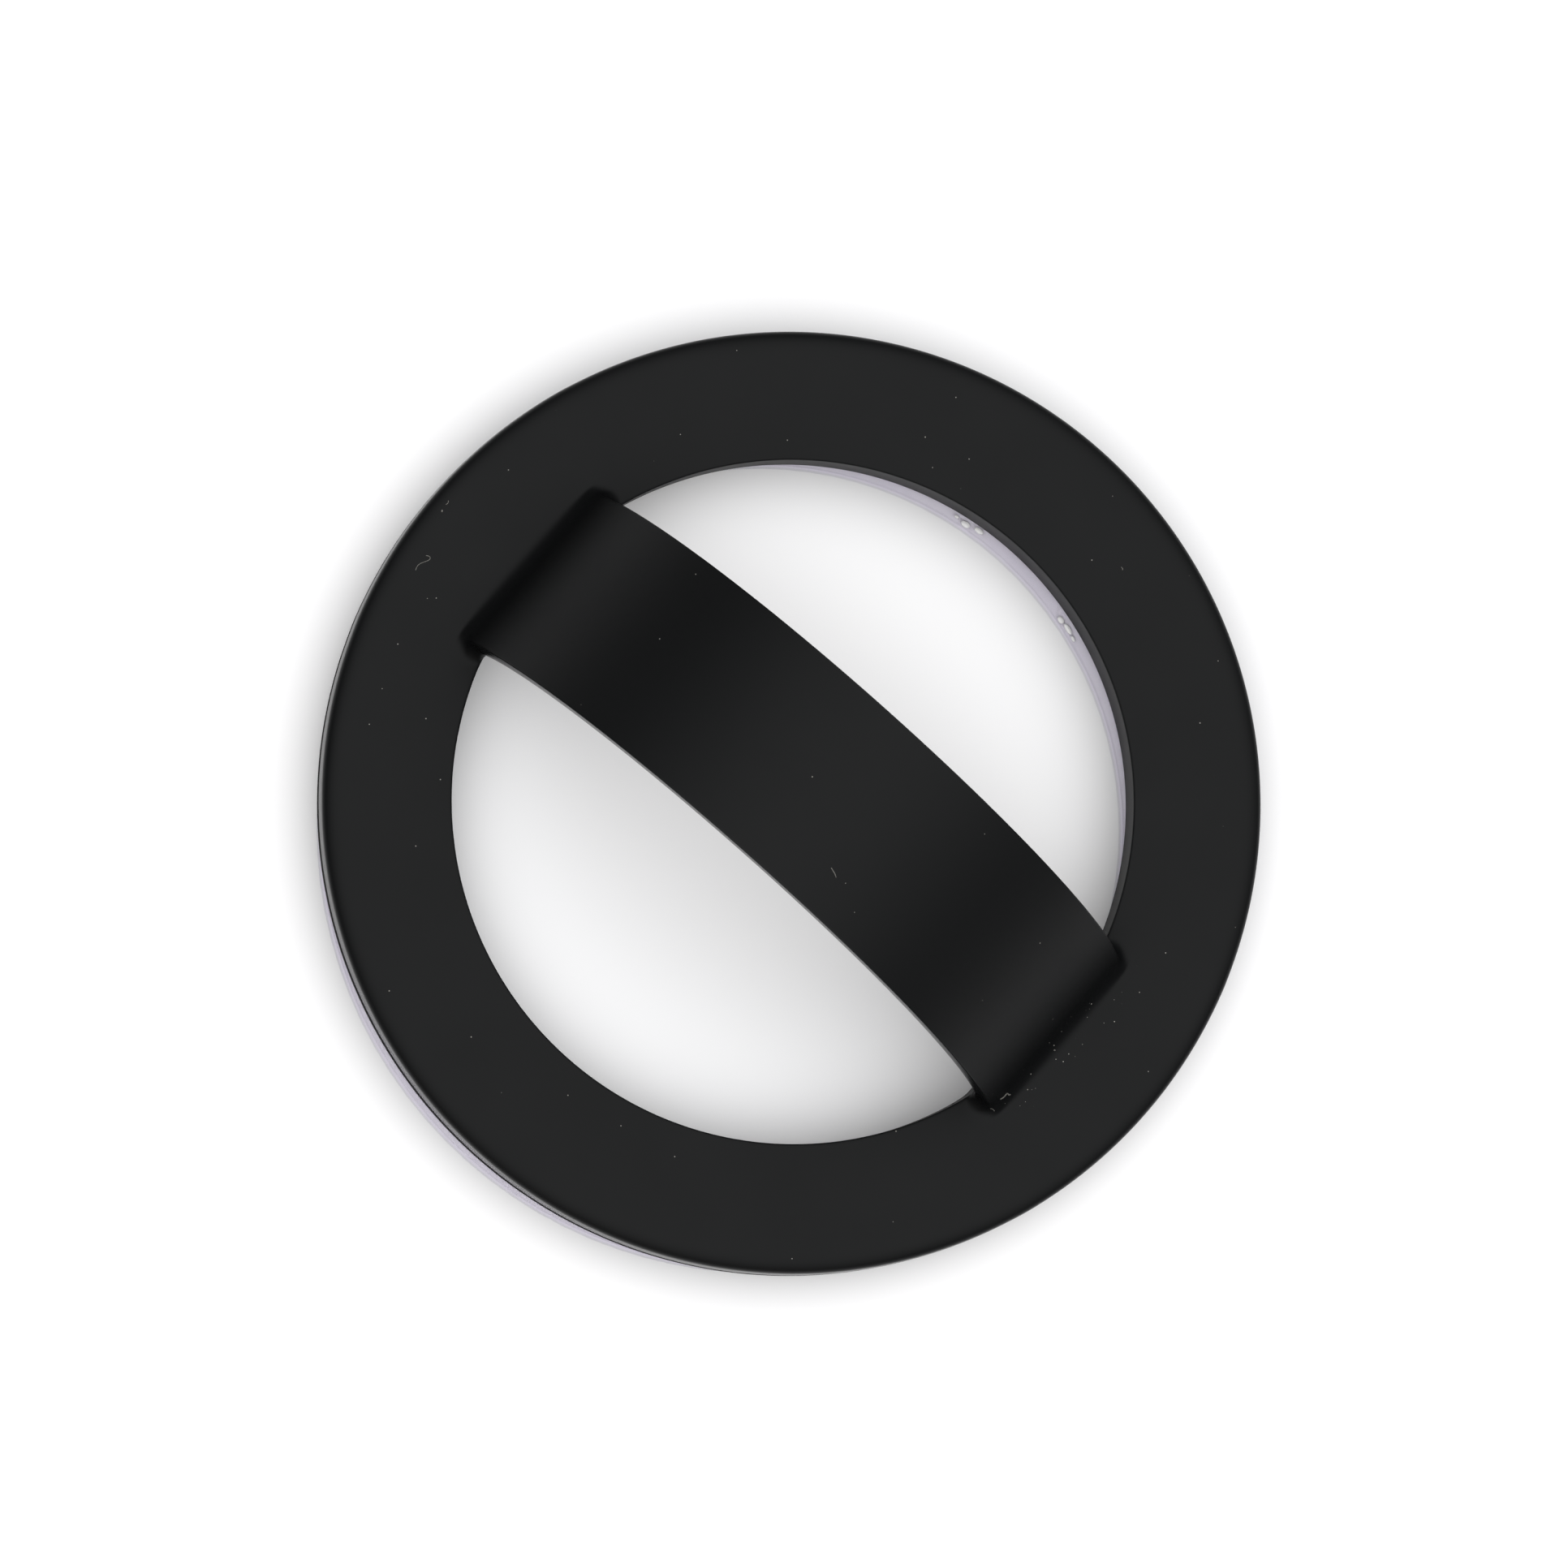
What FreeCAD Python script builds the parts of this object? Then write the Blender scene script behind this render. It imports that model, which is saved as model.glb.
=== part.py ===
"""Magnetic phone grip: a soft ring with an arched finger strap and a closed ring of arc magnets.

The origin is on the ring's axis, on the surface that the grip lies on. +Z points away from the phone,
and the strap runs along X. All sizes are in millimetres. The ring is sized around the magnets that it
holds, and the strap around the ring's hole.
"""

import FreeCAD, Part
import math
import os

import Sketcher

# Driving dimensions: alias, value, what it measures.
SIZES = [
    ("magnet_ring_diameter", 50.0, "diameter at the middle of the magnets"),
    ("magnet_width", 4.0, "width of a magnet across the ring"),
    ("magnet_thickness", 2.2, "thickness of a magnet"),
    ("magnet_gap_angle", 0.8, "angle left free between two magnets, in degrees"),
    ("shunt_thickness", 0.6, "thickness of the steel ring behind the magnets"),
    ("cover_thickness", 0.6, "thickness of the cover that closes the channel"),
    ("cover_lap", 0.6, "how far the cover laps over the soft body on each side of the channel"),
    ("side_clearance", 0.1, "free space beside each piece in its channel"),
    ("side_wall", 1.3, "soft wall beside the cover"),
    ("top_skin", 1.2, "soft skin over the steel ring"),
    ("rim_round", 1.2, "rounding of the outer edge on the strap side"),
    ("foot_chamfer", 0.25, "chamfer of the outer edge on the phone side"),
    ("strap_width", 12.1, "width of the strap"),
    ("strap_thickness", 1.5, "thickness of the strap"),
    ("strap_lap", 0.2, "how far the strap's outer face stands over the hole's edge"),
    ("arch_drop", 3.7, "how far the arch's centre lies below the ring's face"),
    ("strap_outer_chamfer", 0.35, "chamfer of the strap's long edges outside"),
    ("strap_inner_chamfer", 0.2, "chamfer of the strap's long edges inside"),
    ("root_round", 0.8, "fillet between the strap and the ring's face"),
    ("adhesive_inner_inset", 1.2, "from the hole's edge to the tacky ring, were it centred"),
    ("adhesive_outer_inset", 1.6, "from the rim to the tacky ring, were it centred"),
    ("adhesive_thickness", 0.3, "thickness of the tacky ring"),
    ("liner_thickness", 0.1, "thickness of the film under the tacky ring"),
    ("sticker_offset", 2.1, "how far the tacky ring and its film sit off the axis"),
    ("sticker_azimuth", 263.7, "direction of that offset from +X, in degrees"),
]
MAGNET_COUNT = 18
FULL_TURN = 360.0

# Radii that follow from the driving dimensions, from the magnets outwards and inwards.
MAGNET_INNER = "(Sizes.magnet_ring_diameter / 2 - Sizes.magnet_width / 2)"
MAGNET_OUTER = "(Sizes.magnet_ring_diameter / 2 + Sizes.magnet_width / 2)"
CHANNEL_INNER = f"({MAGNET_INNER} - Sizes.side_clearance)"
CHANNEL_OUTER = f"({MAGNET_OUTER} + Sizes.side_clearance)"
REBATE_INNER = f"({CHANNEL_INNER} - Sizes.cover_lap)"
REBATE_OUTER = f"({CHANNEL_OUTER} + Sizes.cover_lap)"
HOLE = f"({REBATE_INNER} - Sizes.side_wall)"
RIM = f"({REBATE_OUTER} + Sizes.side_wall)"
ARCH_OUTER = f"hypot({HOLE} + Sizes.strap_lap; Sizes.arch_drop)"
ARCH_INNER = f"({ARCH_OUTER} - Sizes.strap_thickness)"

# Where the strap's sides meet the hole's edge, and how far its legs stand into the hole there.
ROOT_INNER = f"sqrt({HOLE} ^ 2 - (Sizes.strap_width / 2) ^ 2)"
LEG_STEP = f"({ROOT_INNER} - sqrt({ARCH_INNER} ^ 2 - Sizes.arch_drop ^ 2))"

# Levels that follow from the driving dimensions, from the surface upwards.
BASE = "(Sizes.liner_thickness + Sizes.adhesive_thickness)"
COVER_TOP = f"({BASE} + Sizes.cover_thickness)"
MAGNET_TOP = f"({COVER_TOP} + Sizes.magnet_thickness)"
SHUNT_TOP = f"({MAGNET_TOP} + Sizes.shunt_thickness)"
FACE = f"({SHUNT_TOP} + Sizes.top_skin)"
ARCH_CENTRE = f"({FACE} - Sizes.arch_drop)"

# Where the tacky ring and its film lie.
STICKER_INNER = f"({HOLE} + Sizes.adhesive_inner_inset)"
STICKER_OUTER = f"({RIM} - Sizes.adhesive_outer_inset)"
STICKER_X = "(Sizes.sticker_offset * cos(Sizes.sticker_azimuth * 1 deg))"
STICKER_Y = "(Sizes.sticker_offset * sin(Sizes.sticker_azimuth * 1 deg))"

# How a sketch numbers the points of a line or an arc, its origin and its vertical axis.
START, END, CENTRE = range(1, 4)
ORIGIN_INDEX = -1
VERTICAL_AXIS_INDEX = -2
UP = FreeCAD.Vector(0, 0, 1)
TOUCH = 1e-6


def make_sheet(doc):
    """Writes the driving dimensions into the document's spreadsheet."""
    sheet = doc.addObject("Spreadsheet::Sheet", "Sizes")
    for row, (alias, value, meaning) in enumerate(SIZES, start=1):
        sheet.set(f"A{row}", meaning)
        sheet.set(f"B{row}", str(value))
        sheet.setAlias(f"B{row}", alias)
    doc.recompute()
    return sheet


def new_body(doc, label):
    """Adds an empty body whose label names its file."""
    body = doc.addObject("PartDesign::Body", label)
    body.Label = label
    return body


def new_sketch(body, name, plane):
    """Adds a sketch on one of the body's own origin planes."""
    sketch = body.newObject("Sketcher::SketchObject", f"{body.Name}_{name}")
    support = next(item for item in body.Origin.OriginFeatures if item.Role == plane)
    sketch.AttachmentSupport = [(support, "")]
    sketch.MapMode = "FlatFace"
    return sketch


def value_of(doc, expression):
    """Works out an expression of the driving dimensions."""
    return float(doc.getObject("Sizes").evalExpression(expression))


def relate(sketch, *terms):
    """Adds a constraint that has no size."""
    sketch.addConstraint(Sketcher.Constraint(*terms))


def bind(sketch, name, expression, kind, *terms):
    """Adds a named dimension to a sketch and ties it to an expression."""
    start_value = value_of(sketch.Document, expression)
    index = sketch.addConstraint(Sketcher.Constraint(kind, *terms, start_value))
    sketch.renameConstraint(index, name)
    sketch.setExpression(f"Constraints.{name}", expression)


def draw_line(sketch, start, end):
    """Adds a line between two (x, y) points."""
    return sketch.addGeometry(Part.LineSegment(FreeCAD.Vector(*start, 0), FreeCAD.Vector(*end, 0)))


def draw_section(body, name, inner, outer, bottom, top):
    """Draws a rectangular half-section, from radius inner to outer and from level bottom to top."""
    sketch = new_sketch(body, name, "XZ_Plane")
    near, far, low, high = (value_of(body.Document, place) for place in (inner, outer, bottom, top))
    corners = [(near, low), (far, low), (far, high), (near, high)]
    sides = [draw_line(sketch, *ends) for ends in zip(corners, corners[1:] + corners[:1])]
    for side, following in zip(sides, sides[1:] + sides[:1]):
        relate(sketch, "Coincident", side, END, following, START)
    floor, outer_wall, roof, inner_wall = sides
    for flat in (floor, roof):
        relate(sketch, "Horizontal", flat)
    for upright in (inner_wall, outer_wall):
        relate(sketch, "Vertical", upright)
    bind(sketch, "inner", inner, "DistanceX", ORIGIN_INDEX, START, floor, START)
    bind(sketch, "outer", outer, "DistanceX", ORIGIN_INDEX, START, floor, END)
    bind(sketch, "bottom", bottom, "DistanceY", ORIGIN_INDEX, START, floor, START)
    bind(sketch, "top", top, "DistanceY", ORIGIN_INDEX, START, roof, START)
    return sketch


def turn_section(body, kind, name, sketch):
    """Turns a half-section once about the ring's axis."""
    feature = body.newObject(kind, f"{body.Name}_{name}")
    feature.Profile = sketch
    feature.ReferenceAxis = (sketch, ["V_Axis"])
    feature.Angle = FULL_TURN
    return feature


def draw_strap(body):
    """Draws the strap from the side: two concentric arcs on legs that go straight down through the ring.

    The inner legs start at the ring's face, and the outer legs start at the arch's centre, inside the ring.
    """
    sketch = new_sketch(body, "strap_side", "XZ_Plane")
    doc = body.Document
    outside, inside = value_of(doc, ARCH_OUTER), value_of(doc, ARCH_INNER)
    arch_level, face_level, foot_level = (value_of(doc, level) for level in (ARCH_CENTRE, FACE, BASE))
    centre = FreeCAD.Vector(0, arch_level, 0)
    lean = math.asin((face_level - arch_level) / inside)
    inner_reach = inside * math.cos(lean)
    outer_arc, inner_arc = (
        sketch.addGeometry(Part.ArcOfCircle(Part.Circle(centre, UP, radius), start, math.pi - start))
        for radius, start in ((outside, 0), (inside, lean))
    )
    for name, side, arc_end in (("right", 1, START), ("left", -1, END)):
        outer_leg = draw_line(sketch, (side * outside, arch_level), (side * outside, foot_level))
        foot = draw_line(sketch, (side * outside, foot_level), (side * inner_reach, foot_level))
        inner_leg = draw_line(sketch, (side * inner_reach, foot_level), (side * inner_reach, face_level))
        relate(sketch, "Tangent", outer_arc, arc_end, outer_leg, START)
        relate(sketch, "Coincident", outer_leg, END, foot, START)
        relate(sketch, "Coincident", foot, END, inner_leg, START)
        relate(sketch, "Coincident", inner_leg, END, inner_arc, arc_end)
        relate(sketch, "Vertical", outer_leg)
        relate(sketch, "Vertical", inner_leg)
        relate(sketch, "Horizontal", foot)
        bind(sketch, f"{name}_foot", BASE, "DistanceY", ORIGIN_INDEX, START, foot, START)
        bind(sketch, f"{name}_leg", FACE, "DistanceY", ORIGIN_INDEX, START, inner_arc, arc_end)
    relate(sketch, "Coincident", outer_arc, CENTRE, inner_arc, CENTRE)
    relate(sketch, "PointOnObject", outer_arc, CENTRE, VERTICAL_AXIS_INDEX)
    bind(sketch, "arch_centre", ARCH_CENTRE, "DistanceY", ORIGIN_INDEX, START, outer_arc, CENTRE)
    bind(sketch, "outside", ARCH_OUTER, "Radius", outer_arc)
    bind(sketch, "inside", ARCH_INNER, "Radius", inner_arc)
    return sketch


def dress_edges(body, kind, name, size, base, chosen):
    """Rounds or chamfers every edge of a feature that the test picks, by a size or an expression of sizes."""
    body.Document.recompute()
    edges = [f"Edge{i}" for i, edge in enumerate(base.Shape.Edges, start=1) if chosen(edge)]
    feature = body.newObject(f"PartDesign::{kind}", f"{body.Name}_{name}")
    feature.Base = (base, edges)
    feature.setExpression("Radius" if kind == "Fillet" else "Size", size)
    return feature


def is_circle(edge, radius, centre_test):
    """True for an edge on a circle of that radius whose centre passes the test."""
    if not isinstance(edge.Curve, Part.Circle):
        return False
    return abs(edge.Curve.Radius - radius) < TOUCH and centre_test(edge.Curve.Center)


def make_grip_body(doc):
    """The ring and the arched strap in one moulding, with the magnet channel open towards the phone."""
    body = new_body(doc, "grip_body")
    face, base = value_of(doc, FACE), value_of(doc, BASE)
    rim_radius, arch_radius, root_inner = (value_of(doc, size) for size in (RIM, ARCH_OUTER, ROOT_INNER))
    side = value_of(doc, "Sizes.strap_width / 2")

    strap = body.newObject("PartDesign::Pad", f"{body.Name}_strap")
    strap.Profile = draw_strap(body)
    strap.SideType = "Symmetric"
    strap.setExpression("Length", "Sizes.strap_width")

    def is_outer_edge(edge):
        """True for a long edge of the strap outside: its arc, with the legs that run on from it."""
        return is_circle(edge, arch_radius, lambda centre: abs(abs(centre.y) - side) < TOUCH)

    def is_inner_edge(edge):
        """True for a long edge of the strap inside: its arc and legs meet at the level of the ring's face."""
        ends_at_face = any(abs(end.Z - face) < TOUCH for end in edge.Vertexes)
        return ends_at_face and edge.BoundBox.YLength < TOUCH

    feature = dress_edges(
        body, "Chamfer", "outer_chamfer", "Sizes.strap_outer_chamfer", strap, is_outer_edge
    )
    inner_chamfer = f"min(Sizes.strap_inner_chamfer; {LEG_STEP} / 2)"
    dress_edges(body, "Chamfer", "inner_chamfer", inner_chamfer, feature, is_inner_edge)

    ring = turn_section(
        body, "PartDesign::Revolution", "ring", draw_section(body, "ring_section", HOLE, RIM, BASE, FACE)
    )

    def is_root(edge):
        """True for a line where the strap stands on the ring's face."""
        box = edge.BoundBox
        on_face = abs(box.ZMin - face) < TOUCH and abs(box.ZMax - face) < TOUCH
        in_root = min(abs(box.XMin), abs(box.XMax)) > root_inner - TOUCH
        return on_face and in_root and max(abs(box.YMin), abs(box.YMax)) < side + TOUCH

    feature = dress_edges(body, "Fillet", "root_round", "Sizes.root_round", ring, is_root)
    for kind, size, level in (("Fillet", "rim_round", face), ("Chamfer", "foot_chamfer", base)):
        feature = dress_edges(
            body, kind, size, f"Sizes.{size}", feature,
            lambda edge: is_circle(edge, rim_radius, lambda centre: abs(centre.z - level) < TOUCH),
        )

    channel = draw_section(body, "channel_section", CHANNEL_INNER, CHANNEL_OUTER, BASE, SHUNT_TOP)
    turn_section(body, "PartDesign::Groove", "channel", channel)
    rebate = draw_section(body, "rebate_section", REBATE_INNER, REBATE_OUTER, BASE, COVER_TOP)
    turn_section(body, "PartDesign::Groove", "rebate", rebate)
    return body


def make_flat_ring(doc, label, inner, outer, level, thickness, shift=("0", "0")):
    """A flat ring between two radii, standing on a level, with its centre shifted in X and Y."""
    body = new_body(doc, label)
    sketch = new_sketch(body, "outline", "XY_Plane")
    for name, radius in (("inner", inner), ("outer", outer)):
        circle = sketch.addGeometry(Part.Circle(FreeCAD.Vector(), UP, value_of(doc, radius)))
        relate(sketch, "Coincident", circle, CENTRE, ORIGIN_INDEX, START)
        bind(sketch, name, radius, "Radius", circle)
    plate = body.newObject("PartDesign::Pad", f"{body.Name}_plate")
    plate.Profile = sketch
    plate.setExpression("Length", thickness)
    for axis, place in zip("xyz", (*shift, level)):
        body.setExpression(f"Placement.Base.{axis}", place)
    return body


def make_magnet(doc, index):
    """One arc magnet, turned to its place in the closed magnet ring."""
    label = f"magnet_{index + 1:02d}"
    pitch = FULL_TURN / MAGNET_COUNT
    wedges = []
    for name, radius in (("outer", MAGNET_OUTER), ("inner", MAGNET_INNER)):
        wedge = doc.addObject("Part::Cylinder", f"{label}_{name}")
        wedge.setExpression("Radius", radius)
        wedge.setExpression("Height", "Sizes.magnet_thickness")
        wedge.setExpression("Angle", f"{pitch} - Sizes.magnet_gap_angle")
        wedges.append(wedge)
    magnet = doc.addObject("Part::Cut", label)
    magnet.Label = label
    magnet.Base, magnet.Tool = wedges
    magnet.setExpression("Placement.Rotation.Angle", f"{index * pitch} + Sizes.magnet_gap_angle / 2")
    magnet.setExpression("Placement.Base.z", COVER_TOP)
    return magnet


def make_pieces(doc):
    """Makes every piece of the grip, from the soft body to the film under it."""
    cover = (f"{REBATE_INNER} + Sizes.side_clearance", f"{REBATE_OUTER} - Sizes.side_clearance")
    sticker = (STICKER_INNER, STICKER_OUTER)
    shift = (STICKER_X, STICKER_Y)
    flat_rings = [
        ("shunt_ring", MAGNET_INNER, MAGNET_OUTER, MAGNET_TOP, "Sizes.shunt_thickness"),
        ("base_cover", *cover, BASE, "Sizes.cover_thickness"),
        ("adhesive_ring", *sticker, "Sizes.liner_thickness", "Sizes.adhesive_thickness", shift),
        ("release_liner", *sticker, "0", "Sizes.liner_thickness", shift),
    ]
    magnets = [make_magnet(doc, index) for index in range(MAGNET_COUNT)]
    return [make_grip_body(doc), *(make_flat_ring(doc, *sizes) for sizes in flat_rings), *magnets]


def check(doc, pieces):
    """Stops if an object failed to build or a piece has no sound solid."""
    failed = [item.Name for item in doc.Objects if {"Invalid", "Error"} & set(item.State)]
    if failed:
        raise RuntimeError(f"objects that failed: {failed}")
    unsound = [item.Label for item in pieces if item.Shape.isNull() or not item.Shape.isValid()]
    if unsound:
        raise RuntimeError(f"pieces with no sound solid: {unsound}")


def main():
    """Builds every piece, checks it and writes its file."""
    doc = FreeCAD.newDocument("phone_grip")
    make_sheet(doc)
    pieces = make_pieces(doc)
    doc.recompute()
    check(doc, pieces)
    os.makedirs("parts", exist_ok=True)
    for piece in pieces:
        piece.Shape.exportStep(f"parts/{piece.Label}.step")
        print(f"{piece.Label}: {piece.Shape.Volume:.1f} cubic millimetres")


main()
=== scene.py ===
"""Looks of the magnetic phone grip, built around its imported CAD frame.

The soft body, the tacky ring and its film are modelled here as smooth meshes. The cover, the steel ring and
the magnets keep their CAD shapes and get their own finishes. Sizes are metres in the frame of the CAD model:
the strap runs along X, the phone is below Z = 0.
"""

import logging
import math
from collections.abc import Callable
from dataclasses import dataclass
from enum import Enum

import bmesh
import bpy
from mathutils import Matrix, Vector


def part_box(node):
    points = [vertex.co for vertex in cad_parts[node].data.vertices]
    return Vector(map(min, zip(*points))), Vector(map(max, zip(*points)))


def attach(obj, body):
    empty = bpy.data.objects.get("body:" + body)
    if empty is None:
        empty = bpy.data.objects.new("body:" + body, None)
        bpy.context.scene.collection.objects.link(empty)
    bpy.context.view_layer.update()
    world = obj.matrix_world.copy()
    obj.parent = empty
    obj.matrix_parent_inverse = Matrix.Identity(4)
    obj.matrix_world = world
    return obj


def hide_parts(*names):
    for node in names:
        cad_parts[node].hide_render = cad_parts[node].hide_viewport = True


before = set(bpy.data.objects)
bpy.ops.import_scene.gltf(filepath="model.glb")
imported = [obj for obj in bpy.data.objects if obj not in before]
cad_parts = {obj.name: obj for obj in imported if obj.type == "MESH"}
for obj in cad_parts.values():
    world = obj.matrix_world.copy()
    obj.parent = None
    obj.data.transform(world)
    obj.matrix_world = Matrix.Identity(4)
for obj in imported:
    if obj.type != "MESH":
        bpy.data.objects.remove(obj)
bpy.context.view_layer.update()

MM = 0.001
NEAR = 0.01 * MM
NEAR_ANGLE = math.radians(0.1)
SUBDIVISIONS = 2
# Noise keeps near its middle, so these two values of it get a pattern's first and last colour.
NOISE_ENDS = (0.3, 0.7)
BODY = "root"
IMAGE_SIDE = 1932
Colour = tuple[float, float, float, float]
log = logging.getLogger("phone_grip")


class Slot(Enum):
    """The record's material slots of the pieces that are modelled here."""

    SILICONE = "silicone"
    GEL = "gel"
    FILM = "film"


def linear(hex_colour: str) -> Colour:
    """Turns an sRGB hex colour into linear light.

    Args:
        hex_colour: Six hex digits, such as "2a2b2c".

    Returns:
        Linear red, green, blue and an alpha of one.
    """
    shares = [int(hex_colour[at:at + 2], 16) / 255 for at in (0, 2, 4)]
    lit = [share / 12.92 if share <= 0.04045 else ((share + 0.055) / 1.055) ** 2.4 for share in shares]
    return (*lit, 1.0)


def add_node(tree: bpy.types.NodeTree, kind: str, settings: dict | None = None, **links: object) -> bpy.types.Node:
    """Adds a node with its settings, socket values and incoming links.

    Args:
        tree: The node tree that gets the node.
        kind: The node's type name.
        settings: Node properties, socket values or links under their socket's name or number, and the "stops" of a
            ramp: places between 0 and 1, in order, with their linear colours.
        **links: Output sockets, under the input's name with spaces as underscores.

    Returns:
        The new node.
    """
    node = tree.nodes.new(kind)
    inputs = {name.replace("_", " "): source for name, source in links.items()}
    for name, value in {**(settings or {}), **inputs}.items():
        if isinstance(value, bpy.types.NodeSocket):
            tree.links.new(value, node.inputs[name])
        elif name == "stops":
            elements = node.color_ramp.elements
            while len(elements) < len(value):
                elements.new(1.0)
            for element, (place, colour) in zip(elements, value):
                element.position = place
                element.color = colour
        elif isinstance(name, str) and hasattr(node, name):
            setattr(node, name, value)
        else:
            node.inputs[name].default_value = value
    return node


def new_material(name: str) -> tuple[bpy.types.Material, bpy.types.NodeTree]:
    """Makes a material with an empty node tree.

    Args:
        name: The material's name.

    Returns:
        The material and its node tree.
    """
    material = bpy.data.materials.new(name)
    material.use_nodes = True
    material.node_tree.nodes.clear()
    return material, material.node_tree


def axis_distance(tree: bpy.types.NodeTree, x: float, y: float) -> bpy.types.NodeSocket:
    """Gives each point's distance from an upright axis.

    Args:
        tree: The node tree of the finish.
        x: Where the axis stands.
        y: Where the axis stands.

    Returns:
        The socket with the distance in metres.
    """
    place = add_node(tree, "ShaderNodeTexCoord")
    flat = add_node(
        tree, "ShaderNodeMapping", {"Location": (-x, -y, 0), "Scale": (1, 1, 0)}, Vector=place.outputs["Object"]
    )
    length = add_node(tree, "ShaderNodeVectorMath", {"operation": "LENGTH"}, Vector=flat.outputs["Vector"])
    return length.outputs["Value"]


def grey(share: float) -> Colour:
    """Gives a plain value as the colour that a ramp's stop needs."""
    return (share, share, share, 1.0)


def direction(lean: float, azimuth: float) -> Vector:
    """Gives the unit vector that leans by an angle from upright towards an azimuth."""
    return Vector((math.sin(lean) * math.cos(azimuth), math.sin(lean) * math.sin(azimuth), math.cos(lean)))


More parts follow.
